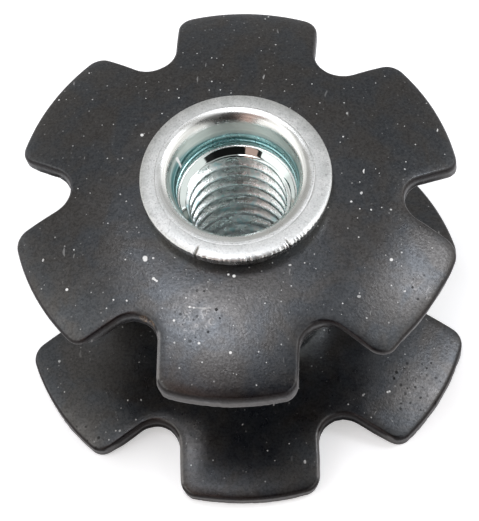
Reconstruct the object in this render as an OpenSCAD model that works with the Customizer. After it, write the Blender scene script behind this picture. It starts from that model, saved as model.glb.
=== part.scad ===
// Star nut: a threaded steel sleeve with a cupped spring-steel star washer
// riveted to each end. The sleeve stands on Z and the tips of the lower star
// touch z = 0. Both stars are cupped the same way, with their hollow side down.

/* [Star washers] */
// Diameter over the tips of the upper star
upper_star_d = 23.6; // [21:0.1:27]
// Diameter over the tips of the lower star, which is cupped less
lower_star_d = 23.8; // [21:0.1:27]
// Thickness of the spring steel
star_t = 0.8; // [0.5:0.05:1.1]
// Number of tabs on each star
tab_count = 6; // [5:1:6]
// Width of each tab, whose sides are parallel
tab_w = 7.4; // [5.5:0.1:7.8]
// Radius of the rounded corners at the tip of a tab
tab_corner_r = 0.95; // [0.3:0.05:1.4]
// Radius at the bottom of the notch between two tabs
notch_r = 1.4; // [0.8:0.05:1.6]
// Diameter of the flat hub inside the cupped tabs
hub_flat_d = 9.6; // [9.3:0.1:11]
// Radius to which the tabs of the upper star are cupped
upper_cup_r = 16.6; // [13:0.1:30]
// Radius to which the tabs of the lower star are cupped
lower_cup_r = 22.4; // [18:0.1:26]
// Turn of the lower star about the axis, in degrees
lower_star_turn = 4; // [0:0.5:30]

/* [Sleeve outside] */
// Diameter of the body between the stars
body_d = 9.2; // [8.6:0.1:9.6]
// Length of the body between its two shoulders
body_len = 10.5; // [7:0.1:14]
// Chamfer on both shoulders of the body
body_chamfer = 0.25; // [0.1:0.05:0.3]
// Diameter of the necks that pass through the stars
neck_d = 7.9; // [7.6:0.1:8.2]
// Diameter over the rim of each rivet head
head_d = 10; // [9.6:0.1:11.5]
// Diameter of the foot with which a rivet head seats on its star
head_foot_d = 9.2; // [8.6:0.1:9.3]
// Height of each rivet head above its star
head_h = 1.1; // [0.9:0.05:1.15]
// Height of the straight wall at the rim of a rivet head
rim_h = 0.6; // [0.4:0.05:0.8]
// Chamfer round the outer edge of a rivet head
rim_chamfer = 0.1; // [0.05:0.05:0.2]

/* [Sleeve bore] */
// Minor diameter of the M6 thread
thread_minor_d = 5.1; // [4.9:0.05:5.2]
// Diameter of the plain recess above and below the thread
recess_d = 6.3; // [6.1:0.1:6.6]
// Depth from a head's face to the end of the recess's straight wall
recess_depth = 2.05; // [1.7:0.05:3]
// Included angle of the drill cone between recess and thread
drill_angle = 120; // [90:1:140]
// Diameter at which the flat face of a head turns into the mouth
mouth_d = 8.2; // [8:0.1:8.8]
// Radius of the rolled edge at the mouth
mouth_r = 0.7; // [0.5:0.05:0.8]
// Taper of the mouth below its rolled edge, in degrees from the axis
mouth_taper = 22; // [15:1:30]

/* [Fit] */
// Gap all round between a neck and the hole in its star
neck_gap = 0.02; // [0.01:0.01:0.1]

/* [Hidden] */
$fn = 96;
// How far a cutting or trimming shape runs past the solid it works on
margin = 1;
// Straight steps in the arcs of a star's outline: half a notch, a tab's
// corner and half a tab's tip
notch_steps = 6;
corner_steps = 6;
tip_steps = 4;

// Drop from the hub's underside to the lowest edge of a cupped star
function cup_drop(star_d, cup_r) =
    let(under_r = cup_r - star_t, reach = (star_d - hub_flat_d) / 2)
    under_r - sqrt(under_r * under_r - reach * reach);

// Levels of the stack, from the lower star's tips upward
lower_star_z = cup_drop(lower_star_d, lower_cup_r);
body_z = lower_star_z + star_t;
upper_star_z = body_z + body_len;
top_face_z = upper_star_z + star_t + head_h;
bottom_face_z = lower_star_z - head_h;
sleeve_mid_z = (top_face_z + bottom_face_z) / 2;
sleeve_half = (top_face_z - bottom_face_z) / 2;

// Points along an arc about a centre, from one angle to another
function arc_points(centre, r, from_angle, to_angle, steps) =
    [for (i = [0 : steps])
        let(angle = from_angle + (to_angle - from_angle) * i / steps)
        centre + r * [cos(angle), sin(angle)]];

// Half of a star's outline round the +X axis: from the middle of the notch
// below the axis, along the tab's side and corner, to the middle of its tip
function half_tab_points(star_d) =
    let(
        half_angle = 180 / tab_count,
        notch_centre_r = (tab_w / 2 + notch_r) / sin(half_angle),
        notch_centre = notch_centre_r * [cos(half_angle), -sin(half_angle)],
        corner_y = tab_w / 2 - tab_corner_r,
        corner_x = sqrt(pow(star_d / 2 - tab_corner_r, 2) - corner_y * corner_y),
        tip_angle = atan2(corner_y, corner_x)
    )
    concat(
        arc_points(notch_centre, notch_r, 180 - half_angle, 90, notch_steps),
        arc_points([corner_x, -corner_y], tab_corner_r, -90, -tip_angle, corner_steps),
        [for (i = [1 : tip_steps])
            let(angle = -tip_angle * (1 - i / tip_steps))
            star_d / 2 * [cos(angle), sin(angle)]]
    );

// One tab's outline: the half and its mirror image, without doubled points
function tab_points(star_d) =
    let(half = half_tab_points(star_d), last = len(half) - 1)
    concat(half, [for (i = [last - 1 : -1 : 1]) [half[i][0], -half[i][1]]]);

// Flat outline of a star, with one tab along -Y
module star_outline(star_d) {
    tab = tab_points(star_d);
    polygon([
        for (i = [0 : tab_count - 1])
            let(turn = i * 360 / tab_count - 90)
            for (p = tab)
                [p[0] * cos(turn) - p[1] * sin(turn), p[0] * sin(turn) + p[1] * cos(turn)]
    ]);
}

// Section of a cupped star: flat hub with its hole, then tabs bent down to a radius
module cup_section(star_d, cup_r) {
    hub_r = hub_flat_d / 2;
    hole_r = neck_d / 2 + neck_gap;
    translate([hole_r, 0])
        square([hub_r - hole_r, star_t]);
    translate([hub_r, star_t - cup_r])
        intersection() {
            difference() {
                circle(r = cup_r);
                circle(r = cup_r - star_t);
            }
            square([star_d / 2 - hub_r + margin, cup_r]);
        }
}

// Cupped star with its hub's underside at z = 0
module cupped_star(star_d, cup_r) {
    drop = cup_drop(star_d, cup_r);
    intersection() {
        rotate_extrude()
            cup_section(star_d, cup_r);
        translate([0, 0, -drop - margin])
            linear_extrude(height = drop + star_t + 2 * margin)
                star_outline(star_d);
    }
}

// Upper half of the sleeve's section, from its middle at z = 0 up to the face
module sleeve_half_section() {
    seat_z = sleeve_half - head_h;
    shoulder_z = seat_z - star_t;
    mouth_centre = [mouth_d / 2, sleeve_half - mouth_r];
    taper_start = mouth_centre + mouth_r * [-cos(mouth_taper), sin(mouth_taper)];
    recess_start_z = taper_start[1] - (taper_start[0] - recess_d / 2) / tan(mouth_taper);
    cone_end_z = sleeve_half - recess_depth
        - (recess_d - thread_minor_d) / 2 / tan(drill_angle / 2);
    polygon([
        [thread_minor_d / 2, 0],
        [body_d / 2, 0],
        [body_d / 2, shoulder_z - body_chamfer],
        [body_d / 2 - body_chamfer, shoulder_z],
        [neck_d / 2, shoulder_z],
        [neck_d / 2, seat_z],
        [head_foot_d / 2, seat_z],
        [head_d / 2, sleeve_half - rim_h],
        [head_d / 2, sleeve_half - rim_chamfer],
        [head_d / 2 - rim_chamfer, sleeve_half],
        [mouth_d / 2, sleeve_half],
        taper_start,
        [recess_d / 2, recess_start_z],
        [recess_d / 2, sleeve_half - recess_depth],
        [thread_minor_d / 2, cone_end_z]
    ]);
    translate(mouth_centre)
        intersection() {
            circle(r = mouth_r);
            polygon([[0, 0], [0, mouth_r], [-mouth_r, mouth_r], taper_start - mouth_centre]);
        }
}

// Zinc-plated sleeve with a swaged head at both ends
module threaded_sleeve() {
    color("silver")
        translate([0, 0, sleeve_mid_z])
            rotate_extrude() {
                sleeve_half_section();
                mirror([0, 1])
                    sleeve_half_section();
            }
}

// Blackened star under the upper head
module upper_star_washer() {
    color([0.16, 0.16, 0.17])
        translate([0, 0, upper_star_z])
            cupped_star(upper_star_d, upper_cup_r);
}

// Blackened star on the lower head, a little flatter and turned
module lower_star_washer() {
    color([0.12, 0.12, 0.13])
        translate([0, 0, lower_star_z])
            rotate(lower_star_turn)
                cupped_star(lower_star_d, lower_cup_r);
}

threaded_sleeve();
upper_star_washer();
lower_star_washer();
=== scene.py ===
"""Star nut: two cupped six-tab star washers riveted to a threaded sleeve.

Each piece is one closed grid of points: rows run round a section and columns
run round the axis or round the star's outline. Shapes are worked out in
millimetres about the sleeve's axis and stored in metres.
"""

import bpy
import numpy as np
from mathutils import Matrix, Vector


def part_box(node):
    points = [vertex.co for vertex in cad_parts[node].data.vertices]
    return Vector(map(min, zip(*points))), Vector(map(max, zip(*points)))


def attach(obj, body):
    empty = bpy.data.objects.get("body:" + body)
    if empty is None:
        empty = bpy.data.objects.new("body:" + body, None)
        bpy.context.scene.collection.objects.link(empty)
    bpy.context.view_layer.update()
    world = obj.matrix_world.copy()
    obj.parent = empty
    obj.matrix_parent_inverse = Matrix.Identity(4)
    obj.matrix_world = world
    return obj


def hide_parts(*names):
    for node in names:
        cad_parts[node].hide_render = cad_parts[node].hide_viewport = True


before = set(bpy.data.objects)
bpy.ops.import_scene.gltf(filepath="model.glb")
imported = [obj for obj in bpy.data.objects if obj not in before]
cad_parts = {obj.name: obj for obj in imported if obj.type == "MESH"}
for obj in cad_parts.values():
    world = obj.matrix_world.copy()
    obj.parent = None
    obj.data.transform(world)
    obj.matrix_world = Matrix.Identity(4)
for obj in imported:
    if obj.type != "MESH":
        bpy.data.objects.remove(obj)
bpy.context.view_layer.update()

MM = 0.001

# Star washers, in mm
STAR_T = 0.8
TAB_COUNT = 6
TAB_STEP = 360 / TAB_COUNT
TAB_HALF_W = 3.7
CORNER_R = 0.95
NOTCH_R = 1.4
HUB_R = 4.8
HOLE_R = 3.97
UPPER_TIP_R = 11.8
LOWER_TIP_R = 11.9
UPPER_CUP_R = 16.6
LOWER_CUP_R = 22.4
# Turn of the lower star about the axis, in degrees
LOWER_TURN = 4
# Edge of a tab: where the top starts to ease down, width of the roll-over and
# outward lean of the wall, then the shares of the thickness they fall
EASE_IN = 0.60
ROLL_W = 0.15
LEAN = 0.03
EASE_FALL = 0.025
ROLL_FALL = 0.30

# Sleeve, in mm, and the taper of its mouth in degrees from the axis
BODY_R = 4.6
BODY_CHAMFER = 0.25
NECK_R = 3.95
HEAD_R = 5.05
FOOT_R = 4.6
HEAD_H = 1.1
RIM_H = 0.6
MOUTH_R = 4.1
MOUTH_ROLL_R = 0.7
MOUTH_TAPER = 22.0
RECESS_R = 3.15
RECESS_DEPTH = 2.05
# A head's face rounds over from this radius and drops this far at its edge
DOME_R = 4.26
LIP_DROP = 0.16
# Fine groove round the mouth, ledge halfway up the recess, chamfer at the
# cone's rim and raised bead at the cone's foot
GROOVE_R = MOUTH_R + 0.10
GROOVE_DEPTH = 0.025
LEDGE_DEPTH = 1.60
CONE_CHAMFER = 0.10
BEAD_R = 2.645
BEAD_H = 0.030
# How far the upper mouth sits off the axis
MOUTH_SHIFT = (-0.09, 0.14)
# How far the blue tint climbs the taper at the left and right
TINT_RISE = 0.45
# Thread: radius at the crest and depth, then as shares of the pitch the halves
# of the crest's flat and the rise of the flanks, above and below a crest
CREST_R = 2.56
THREAD_DEPTH = 0.43
PITCH = 1.0
FLAT_ABOVE = 0.09
FLAT_BELOW = 0.10
FLANK_ABOVE = 0.19
FLANK_BELOW = 0.38
# One point on the crest: its angle in degrees and its height
CREST_ANGLE = 97.6
CREST_LEVEL = 11.11
# Cracks in the upper rim: place and width in degrees, inner radius and depth
RIM_CRACKS = [(-112.0, 0.5, 4.45, 0.30), (-53.0, 0.4, 4.5, 0.16)]

# Marks, each (x, y, z, radius, strength) in mm: worn patches, two of them a
# painted highlight, pits, big specks of dust, rust and a bit of lint
UPPER_WORN_AND_HIGHLIGHT = [
    (-2.1, -7.4, 13.0, 1.1, 0.9), (-1.3, -7.7, 13.0, 1.3, 1.0), (-1.9, -8.5, 12.8, 1.2, 0.5),
    (-1.6, -6.4, 13.1, 1.4, 0.45), (9.9, -5.3, 12.0, 1.2, 0.7), (9.5, -4.7, 12.2, 1.3, 0.5),
    # The last two are a painted highlight: the pale brownish gleam just inside the lower left tab's edge
    (-8.9, -7.5, 11.85, 0.8, 0.35), (-9.6, -6.4, 11.9, 0.7, 0.25),
]
LOWER_WORN = [
    (-9.1, -7.2, 0.9, 0.8, 0.45), (-8.5, -8.0, 0.9, 0.9, 0.6), (-7.8, -8.7, 0.9, 0.8, 0.7),
    (9.7, -4.9, 1.1, 2.3, 1.0), (9.0, -5.6, 1.1, 1.7, 0.8), (-2.4, -8.4, 1.6, 1.1, 0.7),
]
LOWER_PITS = [
    (9.95, -4.0, 1.12, 0.13, 1.0), (8.95, -5.3, 1.22, 0.11, 1.0), (9.4, -5.25, 1.11, 0.10, 0.9),
    (9.7, -6.4, 0.85, 0.12, 1.0), (9.7, -4.35, 1.16, 0.10, 0.9),
]
LOWER_SPECKS = [
    (7.9, -5.65, 1.38, 0.11, 1.0), (8.0, -5.6, 1.36, 0.12, 1.0), (6.7, -6.95, 1.39, 0.09, 0.8),
    (6.9, -7.25, 1.31, 0.07, 0.6), (8.15, -7.2, 1.09, 0.08, 0.6), (-10.0, -4.35, 1.07, 0.09, 0.8),
    (-9.6, -5.9, 0.98, 0.08, 0.8), (-9.95, -3.9, 1.13, 0.08, 0.6), (-7.0, -8.6, 1.02, 0.08, 0.7),
    (-7.0, -8.75, 1.0, 0.08, 0.6), (-10.6, -4.85, 0.85, 0.06, 0.6),
]
UPPER_RUST = [
    (-4.12, -7.95, 12.50, 0.40, 1.0), (-4.45, -7.62, 12.5, 0.36, 0.9),
]
UPPER_SPECKS = [
    (-4.55, -4.36, 13.23, 0.15, 1.0), (-4.53, -4.45, 13.22, 0.13, 1.0), (-4.12, -4.37, 13.26, 0.07, 0.8),
    (-4.04, -5.54, 13.17, 0.09, 1.0), (-3.95, -5.61, 13.17, 0.07, 1.0), (-3.86, -5.68, 13.17, 0.07, 1.0),
    (-8.6, -5.85, 12.33, 0.09, 1.0), (8.25, -3.85, 12.73, 0.10, 1.0), (6.05, -0.7, 13.25, 0.07, 0.9),
    (7.1, -1.1, 13.13, 0.06, 0.8), (-2.85, -7.85, 12.9, 0.08, 1.0), (-1.5, -9.05, 12.72, 0.08, 1.0),
    (0.15, -9.5, 12.6, 0.09, 1.0), (-2.07, -7.13, 13.09, 0.07, 1.0), (-1.85, -7.17, 13.09, 0.06, 0.9),
    (-5.17, 3.09, 13.26, 0.10, 1.0), (0.15, -5.35, 13.29, 0.10, 1.0), (-0.15, -5.27, 13.29, 0.07, 1.0),
]
LINT = [
    (-3.20, 1.37, 13.75, 0.13, 1.0), (-3.16, 1.33, 13.67, 0.12, 1.0), (-3.12, 1.29, 13.59, 0.11, 1.0),
    (-3.08, 1.25, 13.50, 0.10, 1.0), (-3.04, 1.21, 13.41, 0.10, 1.0), (-3.01, 1.17, 13.32, 0.09, 0.9),
]
# Fine scratches on the upper star, each the circle (x, y, z, radius) it runs
# along and the ball (x, y, z, radius) in which it shows
UPPER_SCRATCHES = [((-1.35, -2.69, 13.1, 4.5), (-1.6, -7.19, 13.1, 0.85))]

# Tabs of each star in turn from the front one: how far the tip reaches out and
# how far its wall leans in under it, then the same for every notch
UPPER_TABS = [(0.0, 0.0), (0.12, 0.14), (0.04, 0.0), (0.09, 0.0), (0.16, 0.10), (0.11, 0.24)]
LOWER_TABS = [(0.14, 0.14), (0.16, 0.05), (0.07, 0.0), (0.0, 0.0), (0.0, 0.0), (0.16, 0.09)]
NOTCH_OUT = 0.08
NOTCH_LEAN = 0.05
# Parts of each star's wall rubbed bare, their bright strips on a tab's sides partly a
# painted highlight: place and width in degrees, gain
UPPER_RUBBED_AND_HIGHLIT = [(-114.0, 6.5, 1.3), (-66.0, 6.5, 0.5), (180.0, 48.0, -0.7)]
LOWER_RUBBED_AND_HIGHLIT = [(-110.0, 7.0, 1.3), (-62.0, 7.0, 0.9)]
# Parts of each star's edge bent over: place and width in degrees, how far
# the edge moves out and how far its wall leans in under it
UPPER_BENT = [
    (-60.0, 6.0, 0.15, 0.04), (-49.0, 6.5, 0.17, 0.24), (-15.0, 7.0, 0.08, 0.0),
    (115.0, 8.0, 0.06, 0.0),
]
LOWER_BENT = [(-108.0, 9.0, 0.06, 0.0)]
# Share of the thickness below which each star's wall is bare
UPPER_BARE = 0.44
LOWER_BARE = 0.32


def level(node, corner):
    """Height in mm of a node's lowest (0) or highest (1) corner in the frame."""
    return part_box(node)[corner].z / MM


TOP_FACE = level("threaded_sleeve", 1)
BOTTOM_FACE = level("threaded_sleeve", 0)
UPPER_HUB = level("upper_star_washer", 1)
LOWER_HUB = level("lower_star_washer", 1)
SLEEVE_MID = (TOP_FACE + BOTTOM_FACE) / 2


# ---------------------------------------------------------------- helpers

def smooth(x, start, stop):
    """Smoothstep: 0 before start, 1 after stop, 3t^2 - 2t^3 between."""
    t = np.clip((x - start) / (stop - start), 0, 1)
    return t * t * (3 - 2 * t)


def waves(seed, count, lowest, highest):
    """Random sine waves: whole-number frequencies, phases, and sizes that fall
    with the root of the frequency and add up to 1 in squares."""
    rng = np.random.default_rng(seed)
    freq = rng.integers(lowest, highest, count)
    phase = rng.uniform(0, 2 * np.pi, count)
    size = rng.uniform(0.5, 1, count) / np.sqrt(freq)
    return freq, phase, size / np.sqrt((size ** 2).sum())


def ripple(angle, seed, count=24, lowest=3, highest=90):
    """Sum of the waves at an angle, about -2 to 2, the same after a full turn."""
    freq, phase, size = waves(seed, count, lowest, highest)
    return (size * np.sin(angle[..., None] * freq + phase)).sum(-1) * 1.4


def degrees_past(angle, place):
    """How far each angle in radians lies past a place in degrees, -180 to 180."""
    return (np.degrees(angle) - place + 180) % 360 - 180


def ring_grid(name, points, layers, material, node):
    """Closed grid: point (i, j) joins (i+1, j) and (i, j+1), and both ways wrap
    round. Rows run outward over the top, so that row x column points outward."""
    rows, cols = points.shape[:2]
    i, j = np.meshgrid(np.arange(rows), np.arange(cols), indexing="ij")
    i2, j2 = (i + 1) % rows, (j + 1) % cols
    quads = np.stack([i * cols + j, i2 * cols + j, i2 * cols + j2, i * cols + j2], -1)
    quads = quads.reshape(-1).astype(np.int32)
    mesh = bpy.data.meshes.new(name)
    mesh.vertices.add(rows * cols)
    mesh.vertices.foreach_set("co", (points * MM).reshape(-1).astype(np.float32))
    mesh.loops.add(len(quads))
    mesh.loops.foreach_set("vertex_index", quads)
    mesh.polygons.add(rows * cols)
    mesh.polygons.foreach_set("loop_start", np.arange(0, len(quads), 4, dtype=np.int32))
    mesh.polygons.foreach_set("use_smooth", np.ones(rows * cols, bool))
    mesh.update(calc_edges=True)
    for layer, values in layers.items():
        data = mesh.attributes.new(layer, "FLOAT", "POINT").data
        values = np.broadcast_to(values, (rows, cols))
        data.foreach_set("value", values.reshape(-1).astype(np.float32))
    mesh.validate()
    mesh.materials.append(material)
    piece = bpy.data.objects.new(name, mesh)
    bpy.context.scene.collection.objects.link(piece)
    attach(piece, "root")
    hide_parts(node)


# ---------------------------------------------------------------- materials

class Finish:
    """A material's node tree, with short calls for the nodes used here."""

    def __init__(self, name):
        self.material = bpy.data.materials.new(name)
        self.material.use_nodes = True
        self.tree = self.material.node_tree
        self.tree.nodes.clear()
        self.shader = self.node("ShaderNodeBsdfPrincipled")
        out = self.node("ShaderNodeOutputMaterial")
        self.link(self.shader.outputs[0], out.inputs["Surface"])
        self.coords = self.node("ShaderNodeTexCoord").outputs["Object"]

    def node(self, kind, **settings):
        made = self.tree.nodes.new(kind)
        for key, value in settings.items():
            setattr(made, key, value)
        return made

    def link(self, source, socket):
        self.tree.links.new(source, socket)

    def put(self, value, socket):
        """Sets a socket to a number or colour, or links it."""
        if isinstance(value, bpy.types.NodeSocket):
            self.link(value, socket)
        else:
            socket.default_value = value

    def math(self, operation, a, b=0.0, clamp=False):
        made = self.node("ShaderNodeMath", operation=operation, use_clamp=clamp)
        self.put(a, made.inputs[0])
        self.put(b, made.inputs[1])
        return made.outputs[0]

    def times(self, first, *others):
        """Product of sockets and numbers."""
        for other in others:
            first = self.math("MULTIPLY", first, other)
        return first

    def most(self, first, *others):
        """Largest of sockets and numbers."""
        for other in others:
            first = self.math("MAXIMUM", first, other)
        return first

    def attribute(self, name):
        return self.node("ShaderNodeAttribute", attribute_name=name).outputs["Fac"]

    def placed(self, turn=(0, 0, 0), stretch=(1, 1, 1), coords=None):
        """Coordinates turned by degrees, then stretched."""
        made = self.node("ShaderNodeMapping", vector_type="POINT")
        self.put(coords or self.coords, made.inputs["Vector"])
        made.inputs["Rotation"].default_value = tuple(np.radians(turn))
        made.inputs["Scale"].default_value = stretch
        return made.outputs[0]

    def noise(self, size, detail=4.0, rough=0.55, coords=None, warp=0.0):
        """Noise whose blotches are about size mm across, from 0 to 1."""
        made = self.node("ShaderNodeTexNoise")
        self.put(coords or self.coords, made.inputs["Vector"])
        made.inputs["Scale"].default_value = 1 / (size * MM)
        made.inputs["Detail"].default_value = detail
        made.inputs["Roughness"].default_value = rough
        made.inputs["Distortion"].default_value = warp
        return made.outputs["Fac"]

    def swayed(self, size, reach):
        """Coordinates pushed by up to reach mm with a noise about size mm across."""
        sway = self.node("ShaderNodeTexNoise")
        self.link(self.coords, sway.inputs["Vector"])
        sway.inputs["Scale"].default_value = 1 / (size * MM)
        made = self.node("ShaderNodeVectorMath", operation="MULTIPLY_ADD")
        self.link(sway.outputs["Color"], made.inputs[0])
        made.inputs[1].default_value = (reach * MM,) * 3
        self.link(self.coords, made.inputs[2])
        return made.outputs[0]

    def cells(self, size, coords=None):
        """Voronoi in plan: distance to the nearest point, and that point's two
        random numbers."""
        made = self.node("ShaderNodeTexVoronoi", voronoi_dimensions="2D")
        self.put(coords or self.coords, made.inputs["Vector"])
        made.inputs["Scale"].default_value = 1 / (size * MM)
        split = self.node("ShaderNodeSeparateColor")
        self.link(made.outputs["Color"], split.inputs[0])
        return made.outputs["Distance"], split.outputs[0], split.outputs[1]

    def between(self, value, low, high, to_low=0.0, to_high=1.0):
        """Smooth step of a value from low..high onto to_low..to_high."""
        made = self.node("ShaderNodeMapRange", interpolation_type="SMOOTHSTEP")
        self.put(value, made.inputs["Value"])
        self.put(low, made.inputs["From Min"])
        self.put(high, made.inputs["From Max"])
        self.put(to_low, made.inputs["To Min"])
        self.put(to_high, made.inputs["To Max"])
        return made.outputs[0]

    def mix(self, factor, a, b):
        """Colour a where the factor is 0, and b where it is 1."""
        made = self.node("ShaderNodeMix", data_type="RGBA")
        self.put(factor, made.inputs["Factor"])
        for colour, name in ((a, "A"), (b, "B")):
            socket = [s for s in made.inputs if s.name == name and s.type == "RGBA"][0]
            if isinstance(colour, tuple):
                colour = (*colour, 1)
            self.put(colour, socket)
        return [s for s in made.outputs if s.type == "RGBA"][0]

    def away(self, x, y, z):
        """Distance in metres from a point given in mm."""
        made = self.node("ShaderNodeVectorMath", operation="DISTANCE")
        self.put(self.coords, made.inputs[0])
        made.inputs[1].default_value = (x * MM, y * MM, z * MM)
        return made.outputs["Value"]

    def spot(self, x, y, z, radius, soft=0.5):
        """1 within a ball about a point in mm, fading to 0 over the soft share."""
        core = radius * (1 - soft)
        return self.between(self.away(x, y, z), core * MM, radius * MM, 1.0, 0.0)

    def bump(self, height, distance, strength=1.0, base=None):
        """Bump of a 0..1 height over a distance in mm, on top of another bump."""
        made = self.node("ShaderNodeBump")
        made.inputs["Strength"].default_value = strength
        made.inputs["Distance"].default_value = distance * MM
        self.put(height, made.inputs["Height"])
        if base is not None:
            self.link(base, made.inputs["Normal"])
        return made.outputs[0]


def specks(f, size, share, small, large, faint, turn=0, stretch=1, coords=None):
    """Sparse dots from small to large mm in radius in a share of the cells, as
    strong as faint to 1, mostly faint. Stretched cells give short fibres."""
    where = f.placed((0, 0, turn), (1, stretch, 1), coords)
    distance, pick, power = f.cells(size, where)
    reach = f.between(pick, 1 - share, 1.0, small / size, large / size)
    edge = f.between(f.math("SUBTRACT", reach, distance), 0.0, 0.02 / size)
    picked = f.math("GREATER_THAN", pick, 1 - share)
    strength = f.between(f.math("POWER", power, 5.0), 0.0, 1.0, faint, 1.0)
    return f.times(edge, picked, strength)


def patches(f, marks, soft):
    """The strongest at each point of several soft balls (x, y, z, radius, strength)."""
    balls = [f.times(f.spot(*mark[:4], soft), mark[4]) for mark in marks]
    return f.most(*balls)


def curly_scratches(f, mottle, rubbed_and_highlit):
    """Rings about the points of a cell pattern, each of its own radius, broken
    up by the mottle and kept to the worn patches and the painted highlight."""
    away, pick, _ = f.cells(0.42)
    radius = f.between(pick, 0.0, 1.0, 0.15, 0.42)
    off_ring = f.math("ABSOLUTE", f.math("SUBTRACT", away, radius))
    line = f.between(off_ring, 0.05, 0.13, 1.0, 0.0)
    return f.times(line, f.between(mottle, 0.42, 0.58), f.between(rubbed_and_highlit, 0.15, 0.85))


def fine_scratch(f, arc_of, part):
    """Thin line where a sphere (x, y, z, radius) meets the surface, in a soft ball."""
    *centre, radius = arc_of
    off_arc = f.math("ABSOLUTE", f.math("SUBTRACT", f.away(*centre), radius * MM))
    line = f.between(off_arc, 0.02 * MM, 0.055 * MM, 1.0, 0.0)
    return f.times(line, f.spot(*part, 0.6))


def dust_and_fibres(f, dusty, edges, lumps):
    """Grains of three sizes and short bent fibres lying three ways, in drifts as
    thick as dusty says, none on the edges, and the lumps on top."""
    bent = f.swayed(0.9, 0.5)
    dust = f.most(
        specks(f, 0.55, 0.55, 0.030, 0.055, 0.05),
        specks(f, 0.55, 0.45, 0.030, 0.050, 0.04, turn=52),
        specks(f, 1.8, 0.24, 0.040, 0.085, 0.75, turn=37, coords=bent),
        specks(f, 1.3, 0.16, 0.03, 0.06, 0.15, turn=20, stretch=0.25, coords=bent),
        specks(f, 1.4, 0.16, 0.03, 0.06, 0.15, turn=110, stretch=0.22, coords=bent),
        specks(f, 1.2, 0.16, 0.03, 0.06, 0.15, turn=-35, stretch=0.30, coords=bent),
    )
    drifts = f.between(f.noise(2.4, 2, 0.5), 0.35, 0.65, 0.5 * dusty, 1.2 * dusty)
    flat = f.between(edges, 0.0, 0.3, 1.0, 0.0)
    dust = f.math("MULTIPLY", f.times(dust, drifts), flat, clamp=True)
    return f.most(dust, patches(f, lumps, 0.3))


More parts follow.
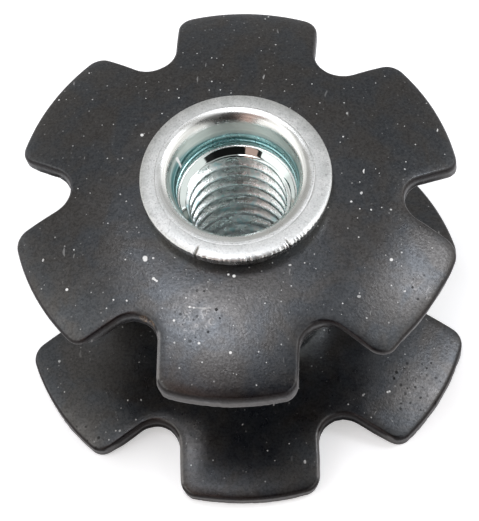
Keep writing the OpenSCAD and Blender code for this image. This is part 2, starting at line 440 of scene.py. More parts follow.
def black_oxide(name, worn_and_highlight, curls, scratches, gouges, rust, lumps, dusty, bareness, grain_glint):
    """Satin black steel: mottled near-black with a fine grain, worn patches, bare
    walls and dust. Worn, gouges, rust and lumps are lists of marks, and scratches
    one of arcs; a few of the worn marks paint a highlight. Curls is how clear the
    curly scratches are, dusty how thick the dust lies, bareness how bright the
    walls are, and shine how strongly the grain's lighter flecks show, which are
    partly the coat's own grain and partly a painted glint; a shaded star gets less
    of them, as painted shade."""
    f = Finish(name)
    wall, roll, sheared = (f.attribute(layer) for layer in ("wall", "roll", "sheared"))
    blotch = f.noise(2.6, 3, 0.6, warp=0.5)
    cloud = f.noise(0.7, 4, 0.65)
    grain = f.noise(0.11, 2, 0.5)
    mottle = f.noise(0.38, 4, 0.7, warp=0.6)

    # Black coat, brownish to bluish, with a lighter cloud and grain. The grain's lighter
    # flecks are partly a painted glint, and their weaker share on the lower star is painted shade.
    colour = f.mix(f.between(blotch, 0.35, 0.65), (0.0040, 0.0028, 0.0024), (0.0016, 0.0024, 0.0046))
    colour = f.mix(f.between(cloud, 0.42, 0.75), colour, (0.006, 0.0055, 0.0055))
    colour = f.mix(f.between(grain, 0.54, 0.76, 0.0, grain_glint), colour, (0.020, 0.019, 0.019))

    # Worn patches, two of them a painted highlight: a pale mottle, curly and fine scratches, and dark
    # pits
    rubbed_and_highlit = patches(f, worn_and_highlight, 0.95)
    pale = f.times(rubbed_and_highlit, f.between(mottle, 0.45, 0.66, 0.08, 1.0))
    colour = f.mix(f.times(pale, 0.55), colour, (0.11, 0.105, 0.10))
    colour = f.mix(f.times(curly_scratches(f, mottle, rubbed_and_highlit), curls), colour, (0.26, 0.25, 0.24))
    for arc_of, part in scratches:
        scratch = f.times(fine_scratch(f, arc_of, part), f.between(mottle, 0.30, 0.55, 0.2, 0.65))
        colour = f.mix(scratch, colour, (0.32, 0.31, 0.29))
    pits = specks(f, 0.42, 0.60, 0.04, 0.10, 0.6, turn=15)
    pits = f.times(pits, f.between(rubbed_and_highlit, 0.0, 0.4, 0.20, 1.0))
    if gouges:
        pits = f.most(pits, patches(f, gouges, 0.5))
    colour = f.mix(pits, colour, (0.002, 0.002, 0.002))

    # Thin brown line where the top rolls over, bare grey wall below it. The palest grey,
    # on the most rubbed walls, is partly a painted highlight.
    colour = f.mix(f.times(roll, 0.8), colour, (0.009, 0.005, 0.0045))
    bare_and_highlight = f.mix(f.noise(0.25, 4, 0.6), (0.13, 0.122, 0.118), (0.25, 0.24, 0.235))
    bare_and_highlight = f.mix(f.between(wall, 0.8, 1.5), bare_and_highlight, (0.52, 0.51, 0.495))
    colour = f.mix(f.math("MULTIPLY", wall, bareness, clamp=True), colour, bare_and_highlight)
    if rust:
        crust = f.times(patches(f, rust, 0.6), f.between(mottle, 0.42, 0.56))
        brown = f.mix(f.between(grain, 0.4, 0.65), (0.04, 0.020, 0.010), (0.27, 0.19, 0.12))
        colour = f.mix(crust, colour, brown)
    dust = dust_and_fibres(f, dusty, f.most(wall, roll), lumps)
    f.link(f.mix(dust, colour, (0.78, 0.78, 0.76)), f.shader.inputs["Base Color"])

    # Satin gloss with a slight sparkle, lost in the pits, the dust and the edges
    rough = f.most(f.between(cloud, 0.3, 0.7, 0.27, 0.33), f.times(dust, 0.9))
    f.link(rough, f.shader.inputs["Roughness"])
    sparkle = f.between(f.noise(0.14, 3, 0.7), 0.36, 0.60, 0.66, 1.0)
    unpitted = f.between(pits, 0.0, 1.0, 1.0, 0.10)
    dull = f.most(f.times(roll, f.between(wall, 0.0, 0.5, 0.65, 0.2)), sheared)
    gleam = f.times(sparkle, unpitted, f.between(dull, 0.0, 1.0, 1.0, 0.0))
    f.link(gleam, f.shader.inputs["Specular IOR Level"])
    sheen = f.mix(f.between(blotch, 0.38, 0.62), (1.0, 0.97, 0.93), (0.92, 0.965, 1.0))
    f.link(sheen, f.shader.inputs["Specular Tint"])
    f.shader.inputs["Metallic"].default_value = 0.0
    height = f.bump(cloud, 0.012, 0.4, f.bump(grain, 0.010, 0.6))
    f.link(height, f.shader.inputs["Normal"])
    return f.material


def zinc_plate(name):
    """Bright zinc: bright roll and body, a matte speckled face, a grey taper,
    blue-tinted rings, a slightly torn thread and a polished drill cone. The
    attributes say which is which, and each is laid over those before it."""
    f = Finish(name)
    face, taper, tinted, thread, polish = (
        f.attribute(layer) for layer in ("face", "taper", "tint", "thread", "polish")
    )
    grain = f.noise(0.13, 4, 0.7)
    cloud = f.noise(0.8, 4, 0.6)
    turned = f.noise(1.0, 3, 0.7, coords=f.placed(stretch=(0.10, 0.10, 9)))
    torn = f.noise(0.30, 4, 0.7, coords=f.placed(stretch=(1, 1, 1.6)), warp=0.6)
    rings = f.noise(1.0, 0, 0.5, coords=f.placed(stretch=(0.05, 0.05, 4.5)))

    # Matte face with soft grey spots, darker flecks and pits in drifts
    matte = f.mix(f.between(cloud, 0.35, 0.7), (0.58, 0.59, 0.57), (0.68, 0.68, 0.66))
    spotted = f.between(f.noise(0.10, 2, 0.6), 0.40, 0.66, 0.0, 0.5)
    matte = f.mix(spotted, matte, (0.40, 0.40, 0.39))
    fleck = f.between(f.noise(0.16, 3, 0.7), 0.56, 0.68)
    matte = f.mix(f.times(fleck, 0.6), matte, (0.30, 0.30, 0.29))
    pits = specks(f, 0.24, 0.35, 0.02, 0.045, 0.5)
    pits = f.times(pits, f.between(f.noise(1.6, 2, 0.5), 0.45, 0.6), 0.8)
    matte = f.mix(pits, matte, (0.12, 0.11, 0.10))

    # Turned body and roll, then the face, the taper, the rings and the thread
    bright = f.mix(f.between(turned, 0.4, 0.6), (0.62, 0.62, 0.59), (0.84, 0.85, 0.83))
    colour = f.mix(face, bright, matte)
    colour = f.mix(taper, colour, f.mix(turned, (0.46, 0.52, 0.49), (0.80, 0.84, 0.79)))
    ringed = f.mix(f.between(rings, 0.42, 0.58), (0.16, 0.36, 0.37), (0.66, 0.94, 0.94))
    colour = f.mix(tinted, colour, ringed)
    flank = f.mix(f.between(torn, 0.35, 0.65), (0.78, 0.84, 0.82), (0.97, 0.98, 0.97))
    flank = f.mix(f.between(cloud, 0.56, 0.66, 0.0, 0.6), flank, (0.50, 0.80, 0.82))
    colour = f.mix(thread, colour, flank)
    colour = f.mix(polish, colour, (0.56, 0.61, 0.59))
    lint = patches(f, LINT, 0.3)
    f.link(f.mix(lint, colour, (0.95, 0.95, 0.92)), f.shader.inputs["Base Color"])
    f.link(f.between(lint, 0.0, 1.0, 1.0, 0.0), f.shader.inputs["Metallic"])

    # Roughest on the face, then the taper, least on the polished cone
    rough = f.math("ADD", f.between(face, 0.0, 1.0, 0.235, 0.42), f.between(cloud, 0.3, 0.7, 0.0, 0.08))
    rough = f.math("ADD", rough, f.times(taper, 0.24))
    rough = f.times(rough, f.between(polish, 0.0, 1.0, 1.0, 0.18))
    rough = f.most(rough, f.times(lint, 0.8))
    f.link(rough, f.shader.inputs["Roughness"])

    # Grain and turning marks, but for the cone, then the rings and the torn flanks
    unpolished = f.between(polish, 0.0, 1.0, 1.0, 0.0)
    grainy = f.most(thread, f.between(face, 0.0, 1.0, 0.4, 1.3))
    lined = f.most(thread, f.between(face, 0.0, 1.0, 0.5, 1.0))
    height = f.bump(f.times(grain, unpolished, grainy), 0.010, 0.6)
    height = f.bump(f.times(turned, unpolished, lined), 0.014, 0.5, height)
    height = f.bump(f.times(rings, tinted), 0.05, 0.5, height)
    height = f.bump(f.times(torn, thread), 0.045, 0.6, height)
    f.link(height, f.shader.inputs["Normal"])
    return f.material


# ---------------------------------------------------------------- stars

def arc(centre, radius, start, stop, steps, facing):
    """Points centre + radius (cos a, sin a), and facing times their radials."""
    a = np.radians(np.linspace(start, stop, steps, endpoint=False))
    radial = np.stack([np.cos(a), np.sin(a)], 1)
    return np.asarray(centre) + radius * radial, facing * radial


def tab_outline(tip_r):
    """One tab round +X as points and outward normals: half a notch, a side, a
    corner, the tip's arc about the axis, then the same mirrored."""
    half = TAB_STEP / 2
    notch_at = (TAB_HALF_W + NOTCH_R) / np.sin(np.radians(half))
    notch = notch_at * np.array([np.cos(np.radians(half)), np.sin(np.radians(half))])
    corner_y = TAB_HALF_W - CORNER_R
    corner_x = np.sqrt((tip_r - CORNER_R) ** 2 - corner_y ** 2)
    tip = np.degrees(np.arctan2(corner_y, corner_x))
    run = np.linspace(0, 1, 10, endpoint=False)[:, None]
    near = np.array([[notch[0], TAB_HALF_W]])
    far = np.array([[corner_x, TAB_HALF_W]])
    flip = np.array([1, -1])
    side = np.tile([[0.0, 1.0]], (10, 1))
    parts = [
        arc(notch * flip, NOTCH_R, 180 - half, 90, 14, -1),
        ((near + run * (far - near)) * flip, side * flip),
        arc((corner_x, -corner_y), CORNER_R, -90, -tip, 14, 1),
        arc((0, 0), tip_r, -tip, tip, 44, 1),
        arc((corner_x, corner_y), CORNER_R, tip, 90, 14, 1),
        (far + run * (near - far), side),
        arc(notch, NOTCH_R, -90, half - 180, 14, -1),
    ]
    return [np.concatenate(column) for column in zip(*parts)]


def star_outline(tip_r, turn):
    """All tabs as points and normals, the first along -Y before the turn."""
    points, normals = tab_outline(tip_r)
    turned = []
    for k in range(TAB_COUNT):
        a = np.radians(k * TAB_STEP - 90 + turn)
        spin = np.array([[np.cos(a), np.sin(a)], [-np.sin(a), np.cos(a)]])
        turned.append((points @ spin, normals @ spin))
    return [np.concatenate(column) for column in zip(*turned)]


def cup(r, hub, cup_r):
    """Heights of top and underside at radius r: flat to the hub's radius, then
    arcs of cup_r and cup_r - STAR_T about one centre below the hub's edge."""
    reach = np.maximum(r - HUB_R, 0)
    top = hub - cup_r + np.sqrt(cup_r ** 2 - reach ** 2)
    under = hub - cup_r + np.sqrt((cup_r - STAR_T) ** 2 - reach ** 2)
    return top, under


def tab_number(around, turn):
    """Number of the tab nearest to each angle in radians, counted from -Y."""
    return np.round((np.degrees(around) + 90 - turn) / TAB_STEP)


def used_outline(tip_r, turn, tabs, bent):
    """Star's outline after pressing and use, its normals, its radii, how far the
    wall leans in under it, and its angles. Each tip reaches out by its own amount,
    every notch by the same, and a bent place by a bell exp(-(turn / width)^4)."""
    outline, normal = star_outline(tip_r, turn)
    around = np.arctan2(outline[:, 1], outline[:, 0])
    own_tab = tab_number(around, turn).astype(int) % TAB_COUNT
    reach_out, lean_in = np.array(tabs)[own_tab].T
    away_r = np.hypot(*outline.T)
    notch = 1 - smooth(away_r, 7.7, 9.0)
    reach_out = reach_out * smooth(away_r, 8.0, 11.0) + NOTCH_OUT * notch
    outline = outline * (1 + reach_out / away_r)[:, None]
    away_r = np.hypot(*outline.T)
    lean_in = lean_in * smooth(away_r, 10.6, 11.6) + NOTCH_LEAN * notch
    for place, width, out, lean in bent:
        bell = np.exp(-((degrees_past(around, place) / width) ** 4))
        outline = outline + (out * bell)[:, None] * normal
        lean_in = lean_in + lean * bell
    return outline, normal, away_r, lean_in, around


def sheet_edge():
    """Edge of the sheet, row by row, as the offset in from the outline and the
    fall as a share of the thickness: a parabola, a quarter ellipse, the wall
    that leans out to the burr, and the start of the underside."""
    ease = np.linspace(0, 1, 6, endpoint=False)
    turn_over = np.radians(np.linspace(0, 90, 8))
    drop = np.array([0.38, 0.48, 0.58, 0.68, 0.80, 0.92])
    under = [0.012, 0.2, 0.42, 0.62]
    offset = np.concatenate([
        EASE_IN + ease * (LEAN + ROLL_W - EASE_IN),
        LEAN + ROLL_W * (1 - np.sin(turn_over)),
        LEAN * (1 - (drop - ROLL_FALL) / (1 - ROLL_FALL)),
        under,
    ])
    fall = np.concatenate([
        EASE_FALL * ease ** 2,
        EASE_FALL + (ROLL_FALL - EASE_FALL) * (1 - np.cos(turn_over)),
        drop,
        np.ones(len(under)),
    ])
    return offset, fall


def edge_insets(offset, fall, lean_in, around, seed):
    """Offset of every edge point: the row's own, small waves and a ragged tear on
    the sheared part of the wall, and the lean, which grows down the wall."""
    torn = np.interp(fall, [0.45, 0.62, 0.95, 1.0], [0, 1, 1, 0.6]) * (offset < LEAN)
    rag = 0.018 * ripple(around, seed, 40, 20, 240)
    inset = offset[:, None] + 0.010 * (1 + ripple(around, seed + 1, 12, 6, 40)) * torn[:, None]
    inset = inset - np.minimum(torn[:, None] * rag[None], 0)
    down_wall = np.clip((fall - ROLL_FALL) / (1 - ROLL_FALL), 0, 1)
    return inset + down_wall[:, None] * lean_in


def spokes(edge_row, hub, cup_r, steps, outward):
    """Rows between the hole and an edge row, along that row's radii: over the top
    outward, or along the underside inward. They lie at even shares to the power
    0.85, which are a little closer together towards the edge."""
    share = np.linspace(0, 1, steps, endpoint=False) ** 0.85
    share = share if outward else share[::-1]
    edge_r = np.hypot(edge_row[:, 0], edge_row[:, 1])
    unit = edge_row / edge_r[:, None]
    r = HOLE_R + (edge_r - HOLE_R) * share[:, None]
    surface = cup(r, hub, cup_r)[0 if outward else 1]
    return np.concatenate([r[..., None] * unit[None], surface[..., None]], -1)


def swell(x, y, seed):
    """Unevenness of the pressed sheet: slow waves a few thousandths of a mm high
    outside the head, and finer ones on top."""
    slow = 0.006 * np.sin(x * 0.9 + seed) * np.sin(y * 0.8 + 2 * seed)
    fine = 0.0008 * np.sin(x * 2.9 + 1.3 * np.sin(y * 1.7))
    return (slow + fine) * smooth(np.hypot(x, y), 5.2, 6.5)


def wall_layers(offset, fall, lean_in, normal, away_r, around, turn, seed, rubbed_and_highlit, bare_from):
    """What shows on each edge point. Wall: bare metal below a share of the
    thickness, most at the tips and at the places listed as rubbed bare, and higher
    up on a tab's sides, where the brightest strips and the roll beside them are
    partly a painted highlight. Roll: where the top rolls over. Sheared: the dull
    torn face below."""
    wear_and_highlight = np.interp(away_r, [8.9, 9.6, 10.8, 11.4], [0.06, 0.08, 0.22, 0.66])
    wear_and_highlight = wear_and_highlight * (0.85 + 0.15 * ripple(around, seed + 5, 8, 2, 14))
    tab_angle = np.radians(tab_number(around, turn) * TAB_STEP - 90 + turn)
    side = 1 - (normal[:, 0] * np.cos(tab_angle) + normal[:, 1] * np.sin(tab_angle)) ** 2
    side = smooth(side, 0.80, 0.97)
    for place, width, gain in rubbed_and_highlit:
        bell = np.exp(-((degrees_past(around, place) / width) ** 4))
        wear_and_highlight = wear_and_highlight + gain * bell * (side if gain > 0 else 1)
    wear_and_highlight = np.clip(wear_and_highlight, 0.04, 2.0)

    start = bare_from - 1.2 * lean_in - 0.30 * side * smooth(wear_and_highlight, 0.3, 0.7)
    start = np.maximum(start, 0.06)
    on_wall = (fall < 1) & (offset < 0.3)
    wall = smooth((fall[:, None] - start) / 0.14, 0, 1) * on_wall[:, None]
    wall = wall * (0.75 + 0.25 * smooth(fall, 0.5, 0.9))[:, None] * wear_and_highlight
    # On a tab's rubbed sides the roll takes the bare colour too: partly bare metal, partly a painted
    # highlight where the roll catches the side lights
    scuff_and_highlight = smooth(-offset, -0.24, -0.12) * (fall < 0.4)
    wall = np.maximum(wall, 0.7 * scuff_and_highlight[:, None] * side * smooth(wear_and_highlight, 0.6, 1.3))

    roll = np.interp(fall, [0.0, 0.10, 0.36, 0.50], [0, 1, 1, 0]) * (offset < 0.4)
    sheared = smooth(fall, 0.25, 0.4) * on_wall
    inner = 1 - smooth(away_r, 10.0, 11.3)
    deep = smooth(fall, 0.48, 0.75)[:, None]
    sheared = sheared[:, None] * (0.55 + (0.52 * deep - 0.22) * inner)
    return {"wall": wall, "roll": np.repeat(roll[:, None], len(away_r), 1), "sheared": sheared}


def star_washer(name, node, hub, tip_r, cup_r, turn, seed, tabs, rubbed_and_highlit, bent, bare_from, material):
    """Cupped star. Near the outline, rows are curves offset inward and lowered by
    the edge's fall. Inside them, rows shrink towards the hole."""
    outline, normal, away_r, lean_in, around = used_outline(tip_r, turn, tabs, bent)
    offset, fall = sheet_edge()
    inset = edge_insets(offset, fall, lean_in, around, seed)
    edge = outline[None] - inset[..., None] * normal[None]
    top, under = cup(np.hypot(edge[..., 0], edge[..., 1]), hub, cup_r)
    edge_z = top + (under - top) * fall[:, None]
    upper = spokes(edge[0], hub, cup_r, 34, True)
    rim = np.concatenate([edge, edge_z[..., None]], -1)
    lower = spokes(edge[-1], hub, cup_r, 18, False)
    points = np.concatenate([upper, rim, lower])
    points[..., 2] += swell(points[..., 0], points[..., 1], seed)
    points[..., 2] = np.maximum(points[..., 2], 0)

    on_edge = wall_layers(
        offset, fall, lean_in, normal, away_r, around, turn, seed, rubbed_and_highlit, bare_from)
    # Away from the edge, every layer is 0
    blank_rows = ((len(upper), len(lower)), (0, 0))
    layers = {layer: np.pad(values, blank_rows) for layer, values in on_edge.items()}
    ring_grid(name, points, layers, material, node)


# ---------------------------------------------------------------- sleeve

def path(*runs):
    """Joins runs of (r, z) points; each run is (start, stop, steps)."""
    made = []
    for start, stop, steps in runs:
        t = np.linspace(0, 1, steps, endpoint=False)[:, None]
        made.append(np.array(start) + t * (np.array(stop) - np.array(start)))
    return np.concatenate(made)


def round_arc(centre, radius, start, stop, steps):
    """Arc in the (r, z) plane, its last point left out."""
    return arc(centre, radius, start, stop, steps, 1)[0]


def oval(r, z, width, height, steps):
    """Quarter oval from straight above (r, z) round to its right."""
    a = np.radians(np.linspace(90, 0, steps, endpoint=False))
    return np.stack([r + width * np.cos(a), z + height * np.sin(a)], 1)


def head_outside(face):
    """From the mouth's edge over the face, the rounded rim and the foot to the
    middle of the body. z is from the sleeve's middle, and face is the head's."""
    seat = face - HEAD_H
    shoulder = seat - STAR_T
    groove = face - GROOVE_DEPTH
    return np.concatenate([
        path(
            ((MOUTH_R, face), (GROOVE_R - 0.03, face), 2),
            ((GROOVE_R - 0.03, face), (GROOVE_R, groove), 2),
            ((GROOVE_R, groove), (GROOVE_R + 0.04, face), 2),
            ((GROOVE_R + 0.04, face), (DOME_R, face), 5),
        ),
        oval(DOME_R, face - LIP_DROP, HEAD_R - DOME_R, LIP_DROP, 12),
        path(
            ((HEAD_R, face - LIP_DROP), (HEAD_R - 0.06, face - RIM_H), 4),
            ((HEAD_R - 0.06, face - RIM_H), (FOOT_R, seat), 6),
            ((FOOT_R, seat), (NECK_R, seat), 2),
            ((NECK_R, seat), (NECK_R, shoulder), 2),
            ((NECK_R, shoulder), (BODY_R - BODY_CHAMFER, shoulder), 2),
            ((BODY_R - BODY_CHAMFER, shoulder), (BODY_R, shoulder - BODY_CHAMFER), 3),
            ((BODY_R, shoulder - BODY_CHAMFER), (BODY_R, 0), 4),
        ),
    ])


def head_inside(face, steps):
    """From the end of the 120 degree drill cone up the bored recess and the flared
    mouth to the face. Two nearly level ledges, at the cone's rim and halfway up
    the recess, and a bell-shaped bead at the cone's foot are what the boring bar
    left, with fine waves between them."""
    taper = np.radians(MOUTH_TAPER)
    flare_r = MOUTH_R - MOUTH_ROLL_R * np.cos(taper)
    flare_z = face - MOUTH_ROLL_R + MOUTH_ROLL_R * np.sin(taper)
    recess_z = flare_z - (flare_r - RECESS_R) / np.tan(taper)
    cone_z = face - RECESS_DEPTH
    cone_end = cone_z - (RECESS_R - CREST_R) / np.sqrt(3)
    ledge_z = face - LEDGE_DEPTH
    wall = path(
        ((RECESS_R, cone_z + 0.03), (RECESS_R, ledge_z - 0.02), steps // 2),
        ((RECESS_R, ledge_z - 0.02), (RECESS_R + 0.01, ledge_z), 2),
        ((RECESS_R + 0.01, ledge_z), (RECESS_R + 0.06, ledge_z + 0.012), 2),
        ((RECESS_R + 0.06, ledge_z + 0.012), (RECESS_R + 0.03, recess_z), steps // 2),
        ((RECESS_R + 0.03, recess_z), (flare_r, flare_z), steps // 2),
    )
    down = face - wall[:, 1]
    wall[:, 0] += 0.006 * np.sin(down * 2 * np.pi / 0.17) * smooth(down, 0.7, 1.1)
    rim_r = RECESS_R - CONE_CHAMFER
    cone = path(((CREST_R, cone_end), (rim_r, cone_z - 0.03), 12))
    bead = BEAD_H * np.exp(-(((cone[:, 0] - BEAD_R) / 0.035) ** 2))
    cone[:, 0] -= bead * 0.5
    cone[:, 1] += bead * 0.87
    return np.concatenate([
        cone,
        path(
            ((rim_r, cone_z - 0.03), (rim_r + 0.02, cone_z - 0.005), 2),
            ((rim_r + 0.02, cone_z - 0.005), (RECESS_R - 0.015, cone_z + 0.01), 2),
            ((RECESS_R - 0.015, cone_z + 0.01), (RECESS_R, cone_z + 0.03), 2),
        ),
        wall,
        round_arc((MOUTH_R, face - MOUTH_ROLL_R), MOUTH_ROLL_R, 180 - MOUTH_TAPER, 90, 14),
    ])


def gathered_angles(columns, places):
    """Angles round a turn, closer together at the places: the inverse of a
    running sum of 1 plus a bell (place, width, height) in degrees for each."""
    fine = np.linspace(0, 360, 7200, endpoint=False)
    crowd = np.ones_like(fine)
    for place, width, height in places:
        away = (fine - place + 180) % 360 - 180
        crowd += height * np.exp(-((away / width) ** 2))
    run = np.concatenate([[0], np.cumsum(crowd)])
    steps = np.linspace(0, run[-1], columns, endpoint=False)
    return np.radians(np.interp(steps, run, np.linspace(0, 360, 7201)))


def sleeve_profile(face):
    """Closed section as (r, z) points from the sleeve's middle: down the outside,
    then up the bore. Also says which rows are the bore's."""
    flip = np.array([1, -1])
    outside = head_outside(face)
    inside_top, inside_low = head_inside(face, 28), head_inside(face, 8)
    low, middle, high = -inside_low[0, 1], -1.5, inside_top[0, 1]
    thread = path(
        ((CREST_R, low), (CREST_R, middle), 30),
        ((CREST_R, middle), (CREST_R, high), 132),
    )
    down_outside = [outside, outside[::-1] * flip]
    up_bore = [(inside_low[::-1] * flip)[1:], thread, inside_top]
    profile = np.concatenate(down_outside + up_bore)
    return profile, np.arange(len(profile)) >= 2 * len(outside)


def helix_radius(z, angle):
    """Radius of the M6 helix, by the height over the nearest crest, which climbs
    a pitch per turn: the flank above a crest is nearly level, and the one below
    it is steeper."""
    climb = (z - CREST_LEVEL) / PITCH - (np.degrees(angle) - CREST_ANGLE) / 360
    above = climb - np.round(climb)
    depth = np.where(above > 0, (above - FLAT_ABOVE) / FLANK_ABOVE, (-above - FLAT_BELOW) / FLANK_BELOW)
    return CREST_R + THREAD_DEPTH * np.clip(depth, 0, 1)


def torn_rim(r, z, angle, near, outer):
    """Upper head's rim as the swage tore it: ragged on the near side, with two
    cracks that are bells exp(-(turn / width)^2) in depth."""
    down = TOP_FACE - z
    lip = smooth(r, HEAD_R - 0.35, HEAD_R - 0.02) * (down < 0.5) * outer
    teeth = np.clip(ripple(angle, 21, 60, 60, 240), -1.5, 1.5)
    sag = np.abs(ripple(angle, 22, 40, 50, 200))
    r = r + lip * near * (0.026 * teeth - 0.02)
    z = z - lip * near * 0.012 * sag * (down < 0.2)
    for place, width, inner_r, depth in RIM_CRACKS:
        gap = np.exp(-((degrees_past(angle, place) / width) ** 2))
        reach = smooth(r, inner_r, HEAD_R) * (down < 0.8) * outer
        z = z - gap * reach * depth * (down < 0.3)
        r = r - gap * reach * 0.16
    return r, z


def threaded_sleeve(material):
    """Profile turned about the axis. In the bore the radius is the larger of the
    drilled profile and the helix, which runs out at both ends. The mouth sits a
    little off the axis, and the rim is torn on the near side."""
    face = (TOP_FACE - BOTTOM_FACE) / 2
    crowded = [(place, 2.0, 4.0) for place, *_ in RIM_CRACKS] + [(-65, 40, 2.0)]
    angle = gathered_angles(262, crowded)
    degrees = degrees_past(angle, 0)
    near = smooth(degrees, -160, -85) * smooth(-degrees, 15, 40)
    profile, bore = sleeve_profile(face)
    bore = bore[:, None]
    r = np.repeat(profile[:, :1], len(angle), 1)
    z = np.repeat(profile[:, 1:], len(angle), 1) + SLEEVE_MID
    down = TOP_FACE - z
    up = z - BOTTOM_FACE

    cut = helix_radius(z, angle)
    run_out = smooth(down, RECESS_DEPTH, RECESS_DEPTH + 0.35) * smooth(up, 2.0, 2.4)
    cut = CREST_R + (cut - CREST_R) * run_out
    r = np.where(bore, np.maximum(r, cut), r)
    r, z = torn_rim(r, z, angle, near, ~bore)
    # The groove fades out on the near side
    groove = (down > 0.005) & (down < 0.03) & ~bore & (r < GROOVE_R + 0.01)
    z = z + groove * down * smooth(degrees, -165, -140) * smooth(-degrees, 30, 60)
    shift = smooth(-down, -1.0, -0.3) * smooth(-r, -MOUTH_R - 0.25, -MOUTH_R) * (down < 1.2)

    head = np.minimum(down, up)
    flat = ~bore & (head < LIP_DROP * 0.85)
    tint_up = TINT_RISE * np.cos(angle) ** 4
    tint_down = smooth(-head, -RECESS_DEPTH + 0.02, -RECESS_DEPTH + 0.05)
    cone_top = smooth(head, RECESS_DEPTH, RECESS_DEPTH + 0.03)
    cone_foot = smooth(-head, -RECESS_DEPTH - 0.40, -RECESS_DEPTH - 0.25)
    layers = {
        # On the near side the face's outer edge takes the turned colour and lower roughness: partly a
        # burnished lip, partly a painted highlight
        "face": flat * (1 - 0.6 * near * smooth(r, HEAD_R - 0.5, HEAD_R - 0.15)),
        "taper": bore * smooth(head, 0.42, 0.50) * smooth(-head, -1.05, -0.90),
        "tint": bore * smooth(head, 0.90 - tint_up, 1.15 - 0.8 * tint_up) * tint_down,
        "thread": bore * smooth(head, RECESS_DEPTH + 0.25, RECESS_DEPTH + 0.40),
        "polish": bore * cone_top * cone_foot,
    }
    points = np.stack([
        r * np.cos(angle) + MOUTH_SHIFT[0] * shift,
        r * np.sin(angle) + MOUTH_SHIFT[1] * shift,
        z,
    ], -1)
    ring_grid(
        "threaded_sleeve_zinc", points, layers, material, "threaded_sleeve")


threaded_sleeve(zinc_plate("bright_zinc_plate"))
star_washer(
    "upper_star", "upper_star_washer", UPPER_HUB,
    tip_r=UPPER_TIP_R, cup_r=UPPER_CUP_R, turn=0, seed=3,
    tabs=UPPER_TABS, rubbed_and_highlit=UPPER_RUBBED_AND_HIGHLIT, bent=UPPER_BENT, bare_from=UPPER_BARE,
    material=black_oxide(
        "upper_black_oxide", UPPER_WORN_AND_HIGHLIGHT, curls=0.7, scratches=UPPER_SCRATCHES, gouges=[],
        rust=UPPER_RUST, lumps=UPPER_SPECKS, dusty=1.0, bareness=0.9, grain_glint=1.0,
    ),
)
star_washer(
    "lower_star", "lower_star_washer", LOWER_HUB,
    tip_r=LOWER_TIP_R, cup_r=LOWER_CUP_R, turn=LOWER_TURN, seed=11,
    tabs=LOWER_TABS, rubbed_and_highlit=LOWER_RUBBED_AND_HIGHLIT, bent=LOWER_BENT, bare_from=LOWER_BARE,
    material=black_oxide(
        "lower_black_oxide", LOWER_WORN, curls=0.2, scratches=[], gouges=LOWER_PITS,
        # The weak grain glint here is painted shade from the upper star over this one
        rust=[], lumps=LOWER_SPECKS, dusty=0.6, bareness=0.8, grain_glint=0.35,
    ),
)


# ---------------------------------------------------------------- studio

def card(name, centre, facing, width, height, material):
    """Rectangle about a centre in metres, turned to face a direction."""
    look = Vector(facing).to_track_quat("Z", "Y").to_matrix()
    corners = [(-1, -1), (1, -1), (1, 1), (-1, 1)]
    half = (width / 2, height / 2)
    points = [Vector(centre) + look @ Vector((x * half[0], y * half[1], 0)) for x, y in corners]
    mesh = bpy.data.meshes.new(name)
    mesh.from_pydata([tuple(p) for p in points], [], [(0, 1, 2, 3)])
    mesh.materials.append(material)
    made = bpy.data.objects.new(name, mesh)
    bpy.context.scene.collection.objects.link(made)


# How strongly the floor shines to the camera
FLOOR_GLOW = 0.45


def white_floor():
    """White sweep: diffuse for the light, near white for camera rays."""
    material = bpy.data.materials.new("white_paper")
    material.use_nodes = True
    tree = material.node_tree
    shader = tree.nodes["Principled BSDF"]
    shader.inputs["Base Color"].default_value = (0.86, 0.86, 0.86, 1)
    shader.inputs["Roughness"].default_value = 0.9
    shader.inputs["Specular IOR Level"].default_value = 0.1
    rays = tree.nodes.new("ShaderNodeLightPath")
    shader.inputs["Emission Color"].default_value = (1, 1, 1, 1)
    scale = tree.nodes.new("ShaderNodeMath")
    scale.operation = "MULTIPLY"
    tree.links.new(rays.outputs["Is Camera Ray"], scale.inputs[0])
    scale.inputs[1].default_value = FLOOR_GLOW
    tree.links.new(scale.outputs[0], shader.inputs["Emission Strength"])
    return material


card("floor", (0, 0, -0.00001), (0, 0, 1), 3.0, 3.0, white_floor())


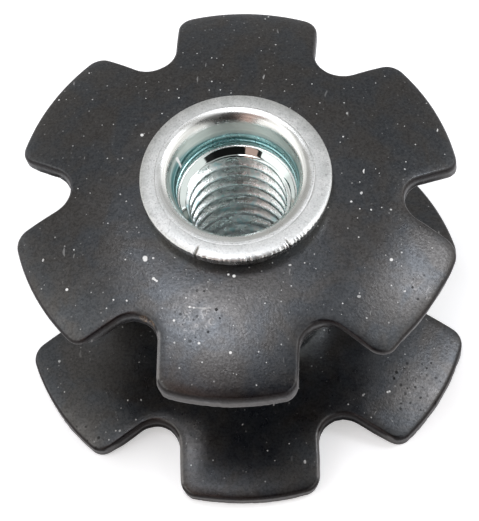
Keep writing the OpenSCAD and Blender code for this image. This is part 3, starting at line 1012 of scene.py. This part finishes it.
def sky():
    """White panels to the left and right, dim behind and above, dark in front
    where the viewer stands, and white to the camera. Each panel is a product of
    smooth steps of the direction's x and y, and the brightest one counts."""
    world = bpy.data.worlds.new("studio")
    bpy.context.scene.world = world
    world.use_nodes = True
    tree = world.node_tree
    background = tree.nodes["Background"]

    def node(kind, values=(), **settings):
        made = tree.nodes.new(kind)
        for key, value in settings.items():
            setattr(made, key, value)
        for k, value in enumerate(values):
            if isinstance(value, bpy.types.NodeSocket):
                tree.links.new(value, made.inputs[k])
            else:
                made.inputs[k].default_value = value
        return made.outputs[0]

    def step(value, low, high, to_low, to_high):
        return node("ShaderNodeMapRange", (value, low, high, to_low, to_high),
                    interpolation_type="SMOOTHSTEP")

    def times(a, b):
        return node("ShaderNodeMath", (a, b), operation="MULTIPLY")

    def most(a, b):
        return node("ShaderNodeMath", (a, b), operation="MAXIMUM")

    coords = tree.nodes.new("ShaderNodeTexCoord")
    split = tree.nodes.new("ShaderNodeSeparateXYZ")
    tree.links.new(coords.outputs["Generated"], split.inputs[0])
    x, y = split.outputs["X"], split.outputs["Y"]
    left = step(x, -0.78, -0.68, SKY_LEFT, SKY_BACK)
    right = step(x, 0.50, 0.75, SKY_BACK, SKY_RIGHT)
    near_right = times(step(x, 0.36, 0.50, 0.0, SKY_RIGHT), step(y, 0.0, 0.35, 1.0, 0.0))
    near_left = times(step(x, -0.50, -0.30, SKY_NEAR_LEFT, 0.0), step(y, 0.0, 0.30, 1.0, 0.0))
    lit = most(most(most(left, right), near_right), near_left)
    # The viewer's own dark outline in front, with one warm patch in it
    viewer = times(step(y, -0.22, -0.18, 1.0, 0.0), step(x, -0.475, -0.465, 0.0, 1.0))
    viewer = times(viewer, step(x, 0.56, 0.60, 1.0, 0.0))
    lit = times(lit, step(viewer, 0.0, 1.0, 1.0, 0.02))
    warm = times(step(x, -0.40, -0.39, 0.0, SKY_WARM), step(x, -0.17, -0.16, 1.0, 0.0))
    warm = times(warm, viewer)
    lit = most(lit, warm)
    # Dark towards the far wall, more so to the right
    far = times(step(y, 0.45, 0.75, 0.0, 0.25), step(x, 0.0, 0.35, 0.25, 1.0))
    lit = times(lit, step(far, 0.0, 1.0, 1.0, 0.0))
    rays = tree.nodes.new("ShaderNodeLightPath")
    lit = most(lit, rays.outputs["Is Camera Ray"])
    tint = tree.nodes.new("ShaderNodeMix")
    tint.data_type = "RGBA"
    tree.links.new(times(warm, 1.33), tint.inputs["Factor"])
    white, skin = [socket for socket in tint.inputs if socket.type == "RGBA"]
    white.default_value = (1, 1, 1, 1)
    skin.default_value = (1, 0.68, 0.60, 1)
    tinted = [socket for socket in tint.outputs if socket.type == "RGBA"][0]
    tree.links.new(tinted, background.inputs["Color"])
    tree.links.new(lit, background.inputs["Strength"])


def softbox(name, direction, distance, size, radiance):
    """Oblong lamp that faces the object, wide along X and long along Y; its power
    is pi x area x radiance."""
    lamp = bpy.data.lights.new(name, "AREA")
    lamp.shape = "RECTANGLE"
    lamp.size, lamp.size_y = size
    lamp.energy = np.pi * size[0] * size[1] * radiance
    lamp.color = (0.95, 0.97, 1.05)
    made = bpy.data.objects.new(name, lamp)
    towards = Vector(direction).normalized()
    across = Vector((0, 1, 0)).cross(towards).normalized()
    frame_of = Matrix((across, towards.cross(across), towards)).transposed()
    made.matrix_world = Matrix.Translation(towards * distance) @ frame_of.to_4x4()
    bpy.context.scene.collection.objects.link(made)


# Brightness of the panels round the object
SKY_BACK = 0.55
SKY_LEFT = 1.15
SKY_RIGHT = 1.3
SKY_NEAR_LEFT = 1.8
SKY_WARM = 0.75
sky()
softbox("overhead_lamp", (-0.13, 0.13, 0.98), 0.6, (0.09, 0.24), 10.8)
softbox("near_lamp", (-0.17, -0.12, 0.98), 0.6, (0.16, 0.14), 2.0)
softbox("side_lamp", (0.58, 0.21, 0.79), 0.6, (0.23, 0.13), 7.4)

# Camera: looks down from the front, a little from the right and rolled
AZIMUTH = np.radians(-82.425)
ELEVATION = np.radians(60.252)
ROLL = np.radians(-5.308)
AIM = Vector((0.2425, -3.3413, 11.3891)) * MM
DISTANCE = 242.503 * MM
FOCAL_PX = 4626.0
LONG_SIDE_PX = 521
SENSOR_W = 36

camera = bpy.data.objects.new("camera", bpy.data.cameras.new("camera"))
bpy.context.scene.collection.objects.link(camera)
back = Vector((
    np.cos(AZIMUTH) * np.cos(ELEVATION),
    np.sin(AZIMUTH) * np.cos(ELEVATION),
    np.sin(ELEVATION),
))
level_right = Vector((-np.sin(AZIMUTH), np.cos(AZIMUTH), 0))
level_up = back.cross(level_right)
right = level_right * np.cos(ROLL) + level_up * np.sin(ROLL)
up = level_up * np.cos(ROLL) - level_right * np.sin(ROLL)
turn = Matrix((right, up, back)).transposed()
camera.matrix_world = Matrix.Translation(AIM + back * DISTANCE) @ turn.to_4x4()
camera.data.sensor_width = SENSOR_W
camera.data.lens = FOCAL_PX / LONG_SIDE_PX * SENSOR_W
camera.data.clip_start = 0.01
camera.data.clip_end = 20
bpy.context.scene.camera = camera
bpy.context.scene.view_settings.view_transform = "Standard"
